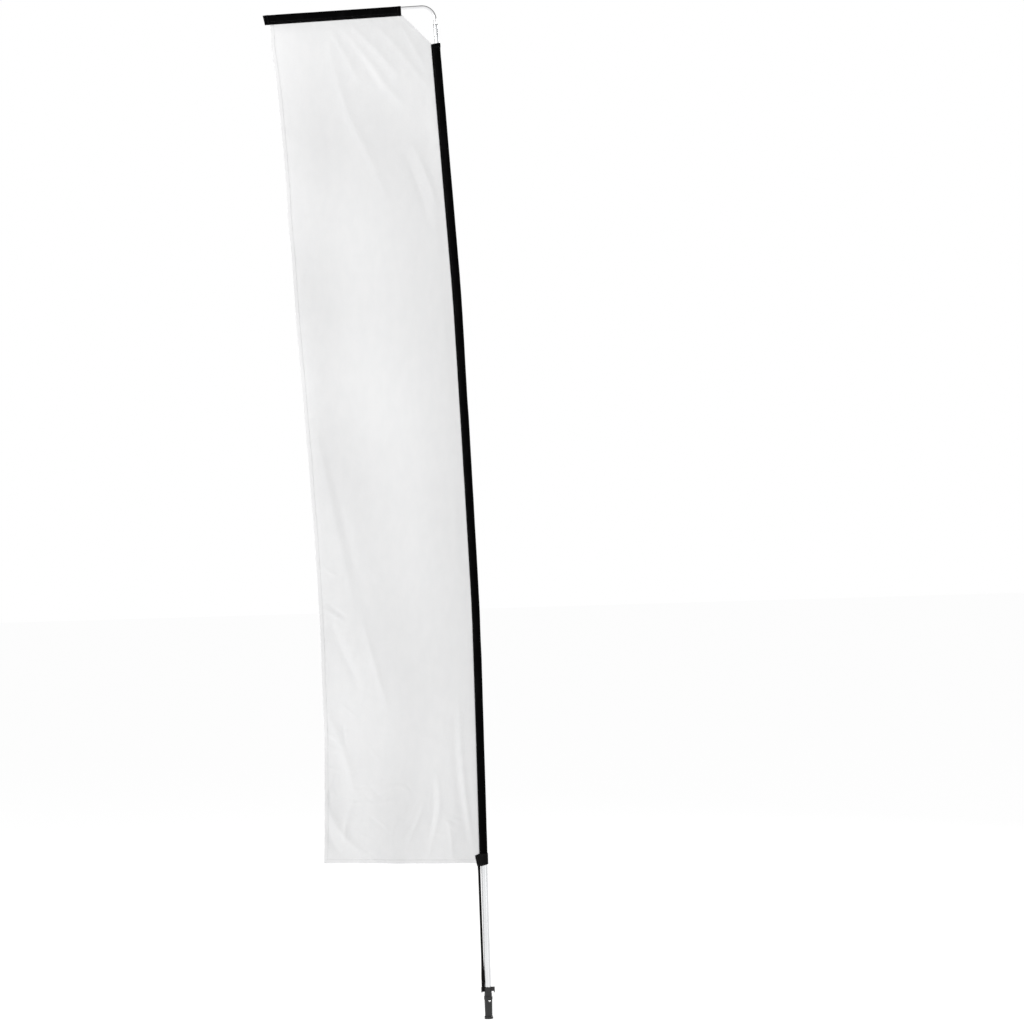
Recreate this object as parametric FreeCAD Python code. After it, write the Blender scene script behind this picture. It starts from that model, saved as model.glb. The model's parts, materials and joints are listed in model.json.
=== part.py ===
# Feather flag on a telescopic pole.
# Millimetres, +Z up. The origin is the centre of the adapter's mouth, where a ground spindle enters.
# The flag lies in the XZ plane and flies towards -X; its front faces -Y.
# The pole is straight around each telescopic joint and bows gently between the joints.
import FreeCAD, Part
import math
import os

os.makedirs("parts", exist_ok=True)

V = FreeCAD.Vector
X, Y, Z = V(1, 0, 0), V(0, 1, 0), V(0, 0, 1)

# ---- driving dimensions: the pole ----
lower_bow_z = 1614.0        # where the pole starts to lean, and where it leans further
upper_bow_z = 2860.0
pole_top_z = 3928.0
lean_at_upper_bow = 34.0    # sideways travel of the axis at those heights
lean_at_top = 94.0
bow_radius = 8000.0

tube_wall = 1.2
lower_tube_d = 25.0
middle_tube_d = 22.0
upper_tube_d = 19.0
lower_mouth_z = 1180.0      # top end of the lower tube
middle_mouth_run = 613.0    # top end of the middle tube, measured up from the lower bow
tube_overlap = 150.0        # length of an inner tube inside the next one at full extension

running_gap = 0.05          # radial, where one piece runs in another
press_gap = 0.02            # radial, where one piece is pressed or glued in another
seat_gap = 0.05             # between faces that meet end on

# ---- driving dimensions: the arm ----
arm_d = 12.0
arm_wall = 1.5
arm_bend_radius = 52.0
arm_corner_rise = 76.0      # the arm's corner above the pole's top
arm_reach = 672.0           # from the corner to the tip
arm_droop_deg = 2.2
arm_insert = 120.0
bush_length = 60.0
bush_flange = 3.0
tip_cap_wall = 1.2
tip_cap_length = 18.0

# ---- driving dimensions: the adapter and the strap's hook ring ----
socket_r = 8.05
socket_depth = 54.0
adapter_floor = 4.0         # solid wall between the spindle socket and the tube socket
foot_h = 12.0
collar_z = 76.0
collar_h = 14.0
neck_h = 11.0
foot_wall = 4.7             # each radius of the adapter stands this far out from the lower tube
waist_wall = 2.2
shoulder_wall = 3.3
collar_wall = 4.5
neck_wall = 2.5
edge_round = 1.2
hook_height = 25.0
hook_hub_wall = 1.7
hook_reach = 14.5           # out from the lower tube
hook_width = 12.0
hook_plate = 17.0
hook_lip = 4.2
hook_round = 3.0
hook_foot_round = 7.0       # at the lower outer edge of each ear

# ---- driving dimensions: the snap button ----
button_z = 72.0
button_d = 8.0
button_turn_deg = 17.0      # round from the front towards +X
button_stand_out = 4.0
button_flange_d = 11.0
button_flange_t = 1.0
spring_t = 0.8
spring_w = 7.0
spring_rise = 34.0

# ---- driving dimensions: the twist locks ----
plug_depth = 26.0
plug_flange = 6.0
cam_d = 9.0
cam_offset = 1.2
cam_stud_d = 6.0
cam_length = 34.0
cam_head = 4.0
expander_length = 24.0
expander_slot = 2.5

# ---- driving dimensions: the cloth ----
cloth_t = 1.0
sleeve_t = 0.7
pole_pocket_gap = 0.5       # round the lower tube
pole_pocket_extra = 7.0     # flat width of the pocket beyond its round end
pocket_set_in = 2.5         # the pocket lies this much nearer the cloth above the upper bow
sleeve_top_drop = 72.0      # the pocket's open top, below the pole's top
sleeve_foot_rise = 8.0      # the pocket's foot, above the tab's lower edge
arm_pocket_gap = 0.98       # round the arm's tip cap
arm_pocket_extra = 21.0     # flat height of the arm's pocket below its round top
arm_pocket_start = 131.0    # from the arm's corner to the pocket's open end
arm_pocket_end_room = 2.0
tip_patch_length = 22.0
tip_patch_t = 1.0
cloth_foot_rise = 10.0      # the cloth's lower edge at the pole, above the tab's lower edge
cloth_foot_reach = 632.0    # the lower edge's length out from the pole's axis
cloth_corner_lift = 20.0    # the lower edge's rise out to the free corner
seam_depth = 3.0            # how far the cloth runs into each pocket's seam
tab_height = 50.0
tab_bottom_z = 604.0
tab_t = 1.4
tab_reach = 23.0            # over the cloth's corner, from the pocket's round end
tab_slab_t = 6.0
strap_w = 8.0
strap_t = 1.6
strap_join_rise = 34.0      # the loop's sewn joint above the hook
strap_bend_r = 3.0

# the free edge's bow in from a straight line: share of the way down from the tip, and how deep
FREE_EDGE_BOW = [(0.032, 11.0), (0.27, 33.0), (0.55, 47.0), (0.835, 36.0)]


def at(x, z):
    return V(x, 0, z)


def along(start, end, distance):
    return start + (end - start).normalize() * distance


# ---- the pole's centre line and what is measured along it ----
pole_foot = at(0, socket_depth + adapter_floor)
tube_r = lower_tube_d / 2
pole_pocket_r = tube_r + pole_pocket_gap
sleeve_bottom_z = tab_bottom_z + sleeve_foot_rise
sleeve_top_z = pole_top_z - sleeve_top_drop
panel_bottom_z = tab_bottom_z + cloth_foot_rise
arm_pocket_r = arm_d / 2 + press_gap + tip_cap_wall + arm_pocket_gap
tab_left_x = -pole_pocket_r - tab_reach
lower_bow = at(0, lower_bow_z)
upper_bow = at(-lean_at_upper_bow, upper_bow_z)
pole_top = at(-lean_at_top, pole_top_z)
middle_axis = (upper_bow - lower_bow).normalize()
upper_axis = (pole_top - upper_bow).normalize()
lower_mouth = at(0, lower_mouth_z)
middle_foot = at(0, lower_mouth_z - tube_overlap)
middle_mouth = lower_bow + middle_axis * middle_mouth_run
upper_foot = middle_mouth - middle_axis * tube_overlap

arm_direction = V(-math.cos(math.radians(arm_droop_deg)), 0, -math.sin(math.radians(arm_droop_deg)))
arm_corner = pole_top + upper_axis * arm_corner_rise
arm_foot = pole_top - upper_axis * arm_insert
arm_tip = arm_corner + arm_direction * arm_reach


def bore(tube_d):
    return tube_d - 2 * tube_wall


def rounded_path(points, radius):
    """Straight runs joined by tangent arcs of one radius."""
    edges, start = [], points[0]
    for before, corner, after in zip(points, points[1:], points[2:]):
        back = (before - corner).normalize()
        ahead = (after - corner).normalize()
        half = back.getAngle(ahead) / 2
        reach = radius / math.tan(half)
        leave, join = corner + back * reach, corner + ahead * reach
        middle = (back + ahead).normalize()
        crown = corner + middle * (radius / math.sin(half) - radius)
        edges.append(Part.LineSegment(start, leave).toShape())
        edges.append(Part.Arc(leave, crown, join).toShape())
        start = join
    edges.append(Part.LineSegment(start, points[-1]).toShape())
    return Part.Wire(edges)


def circle_wire(centre, normal, radius):
    return Part.Wire([Part.makeCircle(radius, centre, normal)])


def sweep(profile, path):
    return path.makePipeShell([profile], True, False)


def rod(points, radius, bend):
    first = (points[1] - points[0]).normalize()
    return sweep(circle_wire(points[0], first, radius), rounded_path(points, bend))


def tube(points, outer_d, wall, bend):
    return rod(points, outer_d / 2, bend).cut(rod(points, outer_d / 2 - wall, bend))


def stadium_wire(centre, towards, normal, radius, extra):
    """A round end at centre, and another one further along towards."""
    side = normal.cross(towards).normalize() * radius
    far = centre + towards * extra
    return Part.Wire([
        Part.LineSegment(centre + side, far + side).toShape(),
        Part.Arc(far + side, far + towards * radius, far - side).toShape(),
        Part.LineSegment(far - side, centre - side).toShape(),
        Part.Arc(centre - side, centre - towards * radius, centre + side).toShape(),
    ])


def turned(profile):
    """A solid of revolution about +Z from (radius, height) points."""
    outline = Part.makePolygon([V(r, 0, z) for r, z in profile + profile[:1]])
    return Part.Face(outline).revolve(V(0, 0, 0), Z, 360)


def placed(shape, origin, axis):
    """Stand a shape that was made about +Z on another axis in the XZ plane."""
    moved = shape.copy()
    moved.rotate(V(0, 0, 0), Y, math.degrees(math.atan2(axis.x, axis.z)))
    moved.translate(origin)
    return moved


def save(name, shape):
    shape.exportStep("parts/" + name + ".step")


# ---- adapter, hook ring and snap button ----
button_direction = V(math.sin(math.radians(button_turn_deg)), -math.cos(math.radians(button_turn_deg)), 0)
adapter_top = collar_z + collar_h + neck_h
tube_socket_r = tube_r + press_gap
collar_r = tube_r + collar_wall
shoulder_r = tube_r + shoulder_wall
hook_end = tube_r + hook_reach
hook_gap_near, hook_gap_far = tube_r + hook_hub_wall, hook_end - hook_lip
strap_x = -(hook_gap_near + hook_gap_far) / 2
button_face = shoulder_r + button_stand_out / 2
button_flange_face = math.sqrt((bore(lower_tube_d) / 2) ** 2 - (button_flange_d / 2) ** 2) - 0.4


def button_hole(radius):
    return Part.makeCylinder(radius, collar_r + 5, V(0, 0, button_z), button_direction)


def base_adapter():
    foot_r, waist_r, neck_r = tube_r + foot_wall, tube_r + waist_wall, tube_r + neck_wall
    body = turned([
        (0, 0), (foot_r - edge_round, 0), (foot_r, edge_round), (foot_r, foot_h - 2 * edge_round),
        (waist_r, foot_h + edge_round), (shoulder_r, collar_z), (collar_r, collar_z + edge_round),
        (collar_r, collar_z + collar_h - edge_round), (collar_r - edge_round, collar_z + collar_h),
        (neck_r, collar_z + collar_h), (neck_r, adapter_top), (0, adapter_top),
    ])
    body = body.cut(Part.makeCylinder(socket_r, socket_depth))
    body = body.cut(Part.makeCylinder(tube_socket_r, adapter_top, pole_foot - Z * seat_gap))
    return body.cut(button_hole(button_d / 2 + running_gap))


def hook_ring():
    foot = adapter_top + seat_gap
    plate_foot = foot + hook_height - hook_plate
    ring = Part.makeCylinder(hook_gap_near, hook_height, V(0, 0, foot))
    plate = Part.makeBox(2 * hook_end, hook_width, hook_plate, V(-hook_end, -hook_width / 2, plate_foot))
    plate = plate.makeFillet(hook_round, [e for e in plate.Edges if abs(e.tangentAt(0).x) > 0.9])
    ring = ring.fuse(plate)
    for edge_x in (-hook_end, hook_gap_far):
        lip_foot = V(edge_x, -hook_width / 2, foot + edge_round)
        ring = ring.fuse(Part.makeBox(hook_lip, hook_width, hook_height - edge_round, lip_foot))
    outline = Part.makeCylinder(hook_end, hook_height, V(0, 0, foot))
    for rim_z, radius in ((foot, hook_foot_round), (foot + hook_height, edge_round)):
        rim = [e for e in outline.Edges if e.Closed and abs(e.CenterOfMass.z - rim_z) < 0.01]
        outline = outline.makeFillet(radius, rim)
    ring = ring.common(outline).removeSplitter()
    return ring.cut(Part.makeCylinder(tube_socket_r, hook_height + 2, V(0, 0, foot - 1)))


def snap_button():
    flange_back = V(0, 0, button_z) + button_direction * (button_flange_face - button_flange_t)
    stem_length = button_face - button_flange_face + button_flange_t
    button = Part.makeCylinder(button_flange_d / 2, button_flange_t, flange_back, button_direction)
    button = button.fuse(Part.makeCylinder(button_d / 2, stem_length, flange_back, button_direction))
    dome_r = ((button_d / 2) ** 2 + (button_stand_out / 2) ** 2) / button_stand_out
    dome_centre = V(0, 0, button_z) + button_direction * (button_face + button_stand_out / 2 - dome_r)
    cap_foot = V(0, 0, button_z) + button_direction * button_face
    cap = Part.makeCylinder(button_d / 2, button_stand_out, cap_foot, button_direction)
    return button.fuse(Part.makeSphere(dome_r, dome_centre).common(cap)).removeSplitter()


def button_spring():
    """A strip bent over at its top: one leg behind the button, the other against the tube."""
    near = button_flange_face - button_flange_t - 0.3 - spring_t / 2
    far = -bore(lower_tube_d) / 2 + 1.4
    foot, top = button_z - 8, button_z + spring_rise

    def point(out, z):
        return button_direction * out + V(0, 0, z)

    path = rounded_path([point(near, foot), point(near, button_z + 8), point(near - 2, top),
                         point(far + 4, top), point(far, button_z + 8), point(far, foot)], 2.5)
    wide = button_direction.cross(Z).normalize() * (spring_w / 2)
    thick = button_direction * (spring_t / 2)
    start = point(near, foot)
    corners = [start + wide + thick, start + wide - thick, start - wide - thick, start - wide + thick]
    return sweep(Part.makePolygon(corners + corners[:1]), path)


# ---- tubes ----
def lower_tube():
    shape = tube([pole_foot, lower_mouth], lower_tube_d, tube_wall, bow_radius)
    return shape.cut(button_hole(button_d / 2 + running_gap))


def middle_tube():
    return tube([middle_foot, lower_bow, middle_mouth], middle_tube_d, tube_wall, bow_radius)


def upper_tube():
    return tube([upper_foot, upper_bow, pole_top], upper_tube_d, tube_wall, bow_radius)


# ---- twist locks: a plug in the inner tube's foot, an eccentric cam and a split expander ----
def lock_plug(inner_bore, outer_bore):
    plug_r = inner_bore / 2 - press_gap
    flange_r = outer_bore / 2 - running_gap
    shape = Part.makeCylinder(flange_r, plug_flange, V(0, 0, -plug_flange - seat_gap))
    shape = shape.fuse(Part.makeCylinder(plug_r, plug_depth + seat_gap, V(0, 0, -seat_gap)))
    return shape.removeSplitter()


def lock_cam():
    top = -plug_flange - 2 * seat_gap
    stud = Part.makeCylinder(cam_stud_d / 2, cam_length, V(0, 0, top - cam_length))
    lobe = Part.makeCylinder(cam_d / 2, expander_length, V(cam_offset, 0, top - expander_length - 2))
    head = Part.makeCylinder(cam_d / 2 + 2, cam_head, V(0, 0, top - cam_length))
    return stud.fuse(lobe).fuse(head).removeSplitter()


def lock_expander(outer_bore):
    low = -plug_flange - 2 * seat_gap - expander_length - 2
    shape = Part.makeCylinder(outer_bore / 2 - running_gap, expander_length, V(0, 0, low))
    shape = shape.cut(Part.makeCylinder(cam_d / 2 + press_gap, expander_length, V(cam_offset, 0, low)))
    slot = Part.makeBox(outer_bore, expander_slot, expander_length, V(-outer_bore, -expander_slot / 2, low))
    return shape.cut(slot)


# ---- the arm ----
def arm_bush():
    shape = Part.makeCylinder(upper_tube_d / 2, bush_flange, V(0, 0, seat_gap))
    skirt_r = bore(upper_tube_d) / 2 - press_gap
    shape = shape.fuse(Part.makeCylinder(skirt_r, bush_length, V(0, 0, seat_gap - bush_length)))
    socket = Part.makeCylinder(arm_d / 2 + press_gap, bush_length + 2 * bush_flange, V(0, 0, -bush_length))
    return placed(shape.cut(socket).removeSplitter(), pole_top, upper_axis)


def arm_rod():
    return tube([arm_foot, arm_corner, arm_tip], arm_d, arm_wall, arm_bend_radius)


def arm_tip_cap():
    """A cup over the arm's cut end."""
    mouth = arm_tip - arm_direction * (tip_cap_length - tip_cap_wall - seat_gap)
    shape = Part.makeCylinder(arm_d / 2 + press_gap + tip_cap_wall, tip_cap_length, mouth, arm_direction)
    end_rim = [e for e in shape.Edges if e.Closed and (e.CenterOfMass - mouth).Length > tip_cap_length / 2]
    shape = shape.makeFillet(tip_cap_wall, end_rim)
    hole = Part.makeCylinder(arm_d / 2 + press_gap, tip_cap_length - tip_cap_wall, mouth, arm_direction)
    return shape.cut(hole)


# ---- the cloth ----
def pole_pocket(thickness):
    """The pole's pocket, grown by thickness: round on the pole's side, flat towards the cloth."""
    foot = at(0, sleeve_bottom_z)
    top = along(upper_bow, pole_top, (sleeve_top_z - upper_bow_z) / upper_axis.z)
    set_in = X * -pocket_set_in
    path = rounded_path([foot, lower_bow, upper_bow + set_in, top + set_in], bow_radius)
    return sweep(stadium_wire(foot, -X, Z, pole_pocket_r + thickness, pole_pocket_extra), path)


def arm_pocket(thickness, start, length):
    """The arm's pocket, grown by thickness: the arm lies in its top edge."""
    origin = arm_corner + arm_direction * start
    down = Y.cross(arm_direction).normalize()
    down = down if down.z < 0 else -down
    profile = stadium_wire(origin, down, arm_direction, arm_pocket_r + thickness, arm_pocket_extra)
    return Part.Face(profile).extrude(arm_direction * length)


arm_pocket_length = arm_reach + tip_cap_wall + seat_gap + arm_pocket_end_room - arm_pocket_start


def pole_sleeve():
    return pole_pocket(sleeve_t).cut(pole_pocket(0))


def top_sleeve():
    return arm_pocket(sleeve_t, arm_pocket_start, arm_pocket_length).cut(
        arm_pocket(0, arm_pocket_start, arm_pocket_length))


tip_patch_start = arm_pocket_start + arm_pocket_length - tip_patch_length


def tip_patch_block():
    length = tip_patch_length + seat_gap + tip_patch_t
    return arm_pocket(sleeve_t + press_gap + tip_patch_t, tip_patch_start, length)


def tip_patch():
    """The closed end of the arm's pocket."""
    inside = arm_pocket(sleeve_t + press_gap, tip_patch_start, tip_patch_length + seat_gap)
    return tip_patch_block().cut(inside)


def flag_panel():
    """One flat sheet: free edge bowed, top edge in the arm's pocket, corner cut, far edge in the pole's."""
    droop = math.tan(math.radians(arm_droop_deg))

    def pocket_underside(x):
        return arm_corner.z + (x - arm_corner.x) * droop - arm_pocket_r - arm_pocket_extra + seam_depth

    tip_x = arm_tip.x + tip_patch_length / 2
    tip = at(tip_x, pocket_underside(tip_x))
    corner_x = arm_corner.x + arm_direction.x * (arm_pocket_start - seam_depth)
    corner = at(corner_x, pocket_underside(corner_x))
    foot = at(-cloth_foot_reach, panel_bottom_z + cloth_corner_lift)
    bow = [tip + (foot - tip) * share + X * deep for share, deep in FREE_EDGE_BOW]
    free = Part.BSplineCurve()
    free.interpolate([tip] + bow + [foot])
    edge_in = X * (pole_pocket_r + pole_pocket_extra - seam_depth)
    set_in = X * pocket_set_in
    cut_end = upper_bow + upper_axis * ((sleeve_top_z - upper_bow_z) / upper_axis.z)
    points = [foot, at(0, panel_bottom_z) - edge_in, lower_bow - edge_in,
              upper_bow - edge_in - set_in, cut_end - edge_in - set_in, corner, tip]
    around = [free.toShape()]
    around += [Part.LineSegment(a, b).toShape() for a, b in zip(points, points[1:])]
    sheet = Part.Face(Part.Wire(around)).extrude(Y * cloth_t)
    sheet.translate(Y * (-cloth_t / 2))
    sheet = sheet.cut(pole_pocket(sleeve_t))
    sheet = sheet.cut(arm_pocket(sleeve_t, arm_pocket_start, arm_pocket_length + tip_patch_length))
    return sheet.cut(tip_patch_block())


def sleeve_tab():
    """Doubled webbing round the pocket's foot and over the cloth's corner."""
    foot = at(0, tab_bottom_z)
    band = Part.Face(stadium_wire(foot, -X, Z, pole_pocket_r + sleeve_t + tab_t, pole_pocket_extra))
    slab = Part.makeBox(-pole_pocket_r - tab_left_x, tab_slab_t, tab_height,
                        V(tab_left_x, -tab_slab_t / 2, tab_bottom_z))
    cloth_corner = Part.makeBox(-tab_left_x, cloth_t, tab_height, V(tab_left_x, -cloth_t / 2, panel_bottom_z))
    pole_room = Part.Face(stadium_wire(foot, -X, Z, pole_pocket_r, pole_pocket_extra)).extrude(Z * tab_height)
    shape = band.extrude(Z * tab_height).fuse(slab).removeSplitter()
    return shape.cut(pole_pocket(sleeve_t)).cut(cloth_corner).cut(pole_room)


def tension_strap():
    """A flat elastic strap from the tab to the ring's hook, with a sewn loop under the hook."""
    hook_top = adapter_top + seat_gap + hook_height
    hook_under = hook_top - hook_plate
    out = hook_width / 2 + strap_t / 2 + 0.4
    under = hook_under - strap_t / 2 - 0.4

    def point(y, z):
        return V(strap_x, y, z)

    join = hook_top + strap_join_rise
    route = [point(0, tab_bottom_z - seat_gap), point(-strap_t, join), point(-out, hook_top),
             point(-out, under), point(out, under), point(out, hook_top), point(0, join)]
    path = rounded_path(route, strap_bend_r)
    start = route[0]
    wide, thick = X * (strap_w / 2), Y * (strap_t / 2)
    corners = [start + wide + thick, start + wide - thick, start - wide - thick, start - wide + thick]
    return sweep(Part.makePolygon(corners + corners[:1]), path)


for name, maker in {
    "base_adapter": base_adapter, "hook_ring": hook_ring, "snap_button": snap_button,
    "button_spring": button_spring, "lower_tube": lower_tube, "middle_tube": middle_tube,
    "upper_tube": upper_tube, "arm_bush": arm_bush, "arm_rod": arm_rod, "arm_tip_cap": arm_tip_cap,
    "flag_panel": flag_panel, "top_sleeve": top_sleeve, "tip_patch": tip_patch, "pole_sleeve": pole_sleeve,
    "sleeve_tab": sleeve_tab, "tension_strap": tension_strap,
}.items():
    save(name, maker())

for inner, foot, axis, inner_d, outer_d in (
    ("middle", middle_foot, Z, middle_tube_d, lower_tube_d),
    ("upper", upper_foot, middle_axis, upper_tube_d, middle_tube_d),
):
    save(inner + "_lock_plug", placed(lock_plug(bore(inner_d), bore(outer_d)), foot, axis))
    save(inner + "_lock_cam", placed(lock_cam(), foot, axis))
    save(inner + "_lock_expander", placed(lock_expander(bore(outer_d)), foot, axis))

print("upper slide's axis", middle_axis)
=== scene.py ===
"""Looks for the feather flag: cloth, pockets, webbing and strap, materials, lights and camera, in metres."""
import bpy
import bmesh
import json
import math
import numpy as np
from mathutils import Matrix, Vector


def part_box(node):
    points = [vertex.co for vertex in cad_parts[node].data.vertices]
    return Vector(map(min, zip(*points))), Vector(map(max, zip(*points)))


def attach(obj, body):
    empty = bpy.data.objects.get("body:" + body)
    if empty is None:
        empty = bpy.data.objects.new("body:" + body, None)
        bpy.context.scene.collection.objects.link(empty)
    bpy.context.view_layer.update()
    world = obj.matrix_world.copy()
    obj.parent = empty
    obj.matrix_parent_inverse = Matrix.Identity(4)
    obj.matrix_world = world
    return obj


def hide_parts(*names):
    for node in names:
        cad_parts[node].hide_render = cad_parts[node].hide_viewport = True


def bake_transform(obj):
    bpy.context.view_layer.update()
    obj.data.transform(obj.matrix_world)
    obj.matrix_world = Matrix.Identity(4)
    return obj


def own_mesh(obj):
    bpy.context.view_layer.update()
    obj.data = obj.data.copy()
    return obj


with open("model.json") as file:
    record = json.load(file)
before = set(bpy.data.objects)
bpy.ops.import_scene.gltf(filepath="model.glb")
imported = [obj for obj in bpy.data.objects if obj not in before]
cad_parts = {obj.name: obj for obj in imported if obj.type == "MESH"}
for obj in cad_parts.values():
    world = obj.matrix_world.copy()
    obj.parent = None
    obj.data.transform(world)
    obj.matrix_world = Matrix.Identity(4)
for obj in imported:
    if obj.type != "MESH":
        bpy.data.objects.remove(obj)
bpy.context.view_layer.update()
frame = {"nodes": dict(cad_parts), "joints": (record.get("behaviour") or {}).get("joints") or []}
rng = np.random.default_rng(7)
MM = 0.001
FRONT = np.array([0.0, -1.0, 0.0])

# ---- sizes of the soft pieces ----
CLOTH_T = 0.45 * MM
CLOTH_ROWS, CLOTH_COLUMNS = 560, 112
POCKET_ROWS = 860
CLOTH_LENGTH, CLOTH_WIDTH = 3.3, 0.6         # round figures that set how often random lines bend
POCKET_LENGTH, ARM_POCKET_LENGTH = 3.2, 0.54
HEM = 14 * MM
HEM_T = 0.5 * MM
POCKET_T = 0.55 * MM
POCKET_ROOM = 0.7 * MM          # between a pocket and what it holds
SLIDE_ROOM = 2.8 * MM           # extra flat width that lets the pocket slide past the pole's bow
TAB_T = 1.3 * MM
TAB_SKEW = 7.5 * MM              # the tab is this much shorter along its lower edge
POCKET_END_SKEW = 5 * MM        # the arm's pocket is this much shorter along its lower edge
BOW_RADIUS = 8.0                # of the pole's two bends
STRAP_T = 1.5 * MM
STITCH_PITCH, STITCH_LENGTH, STITCH_R = 3.6 * MM, 2.5 * MM, 0.28 * MM
WORLD_LIGHT = 0.2
PHOTO_ROLL = math.radians(1.7)  # the camera's roll: the lower tube leans this much in the picture


# ---- reading the frame ----
def points_of(node):
    mesh = frame["nodes"][node].data
    co = np.zeros(len(mesh.vertices) * 3)
    mesh.vertices.foreach_get("co", co)
    return co.reshape(-1, 3)


def end_ring(node, direction, depth=2 * MM):
    """The vertices of a node's furthest end along a direction."""
    co = points_of(node)
    along = co @ np.array(direction)
    return co[along > along.max() - depth]


def centre(ring):
    return (ring.min(0) + ring.max(0)) / 2


def crossing(a, a_way, b, b_way):
    """Where two lines in the XZ plane meet."""
    m = np.array([[a_way[0], -b_way[0]], [a_way[2], -b_way[2]]])
    s = np.linalg.solve(m, [b[0] - a[0], b[2] - a[2]])[0]
    return a + a_way * s


def unit(v):
    v = np.asarray(v, float)
    return v / np.maximum(np.linalg.norm(v, axis=-1, keepdims=True), 1e-12)


joints = {j["name"]: j for j in frame["joints"]}
UP, DOWN, LEFT, RIGHT = (0, 0, 1), (0, 0, -1), (-1, 0, 0), (1, 0, 0)
pole_foot = centre(end_ring("lower_tube", DOWN))
lower_mouth = centre(end_ring("lower_tube", UP))
middle_mouth = centre(end_ring("middle_tube", UP))
pole_top = centre(end_ring("upper_tube", UP))
middle_way = unit(joints["upper_slide"]["axis"])
upper_way = unit(pole_top - centre(end_ring("arm_rod", DOWN)))
lower_bow = crossing(pole_foot, np.array(UP, float), middle_mouth, middle_way)
upper_bow = crossing(middle_mouth, middle_way, pole_top, upper_way)
arm_tip = centre(end_ring("arm_rod", LEFT))
pocket_open, pocket_closed = end_ring("top_sleeve", RIGHT), end_ring("top_sleeve", LEFT)
arm_way = unit(centre(pocket_closed) - centre(pocket_open))
arm_down = np.array([-arm_way[2], 0, arm_way[0]])
arm_corner = crossing(pole_top, upper_way, arm_tip, arm_way)
sleeve_foot_ring, sleeve_top_ring = end_ring("pole_sleeve", DOWN), end_ring("pole_sleeve", UP)
sleeve_foot_z, sleeve_top_z = sleeve_foot_ring[:, 2].min(), centre(sleeve_top_ring)[2]
tube_r = {n: (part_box(n)[1].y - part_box(n)[0].y) / 2 for n in ("middle_tube", "upper_tube")}
tube_r["lower_tube"] = (lower_mouth[0] - end_ring("lower_tube", UP)[:, 0].min())


def pole_x(z):
    """The pole's axis: straight runs joined by the two bows' arcs."""
    x = np.interp(z, [pole_foot[2], lower_bow[2], upper_bow[2], pole_top[2]],
                  [pole_foot[0], lower_bow[0], upper_bow[0], pole_top[0]])
    ways = [np.array(UP, float), middle_way, upper_way]
    for bow, before, after in zip((lower_bow, upper_bow), ways, ways[1:]):
        reach = BOW_RADIUS * math.tan(math.acos(min(1.0, before @ after)) / 2)
        inside = np.maximum(reach - np.abs(z - bow[2]), 0)
        x = x - inside ** 2 / (2 * BOW_RADIUS)
    return x


reach_foot = pole_x(sleeve_foot_z) - sleeve_foot_ring[:, 0].min()
reach_top = pole_x(sleeve_top_z) - sleeve_top_ring[:, 0].min()
SLACK_HEIGHTS = [lower_mouth[2], lower_bow[2], middle_mouth[2], upper_bow[2] - 0.2, upper_bow[2] + 0.1]
SLACK = np.array([-2.9, -1.6, -1.2, 0.2, 1.4]) * MM


def seam_x(z):
    """The edge of the pole's pocket where the white cloth is sewn in."""
    reach = np.interp(z, [lower_bow[2], upper_bow[2]], [reach_foot, reach_top])
    return pole_x(z) - reach - np.interp(z, SLACK_HEIGHTS, SLACK)


# ---- meshes ----
def make_mesh(name, verts, faces, smooth=True):
    mesh = bpy.data.meshes.new(name)
    mesh.from_pydata([tuple(v) for v in verts], [], faces)
    mesh.validate()
    shell = bmesh.new()
    shell.from_mesh(mesh)
    bmesh.ops.recalc_face_normals(shell, faces=shell.faces)
    shell.to_mesh(mesh)
    shell.free()
    mesh.polygons.foreach_set("use_smooth", [smooth] * len(mesh.polygons))
    mesh.update()
    piece = bpy.data.objects.new(name, mesh)
    bpy.context.scene.collection.objects.link(piece)
    return piece


def grid_faces(rows, columns, closed=False, first=0):
    """Faces of a grid of points, row after row; closed joins the last column to the first."""
    faces = []
    for r in range(rows - 1):
        for c in range(columns if closed else columns - 1):
            d = (c + 1) % columns
            faces.append((first + r * columns + c, first + r * columns + d,
                          first + (r + 1) * columns + d, first + (r + 1) * columns + c))
    return faces


def closed_band(name, rings):
    """A solid from a list of closed rings of points, with its two ends filled."""
    rows, columns = rings.shape[:2]
    faces = grid_faces(rows, columns, closed=True)
    faces.append(tuple(range(columns))[::-1])
    faces.append(tuple((rows - 1) * columns + c for c in range(columns)))
    return make_mesh(name, rings.reshape(-1, 3), faces)


def set_uv(piece, values):
    """One (u, v) per vertex, in metres along the cloth, for the weave."""
    layer = piece.data.uv_layers.new(name="cloth_metres")
    loops = np.zeros(len(piece.data.loops), int)
    piece.data.loops.foreach_get("vertex_index", loops)
    layer.data.foreach_set("uv", np.asarray(values, float)[loops].ravel())


def waviness(count, length, step, size):
    """A smooth random line: count values over length, with a bend about every step."""
    knots = max(4, int(length / step) + 2)
    return size * smooth_line(rng.uniform(-1, 1, knots), count)


def smooth_line(knots, count):
    """A smooth curve through evenly spaced values (or points)."""
    knots = np.asarray(knots, float)
    t = np.linspace(0, len(knots) - 1, count)
    i = np.clip(t.astype(int), 0, len(knots) - 2)
    f = t - i
    if knots.ndim > 1:
        f = f[:, None]
    before, after = knots[np.maximum(i - 1, 0)], knots[np.minimum(i + 2, len(knots) - 1)]
    a, b = knots[i], knots[i + 1]
    return 0.5 * (2 * a + (b - before) * f + (2 * before - 5 * a + 4 * b - after) * f ** 2
                  + (3 * a - before - 3 * b + after) * f ** 3)


def ease(x, low, high):
    t = np.clip((x - low) / (high - low), 0, 1)
    return t * t * (3 - 2 * t)


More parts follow.
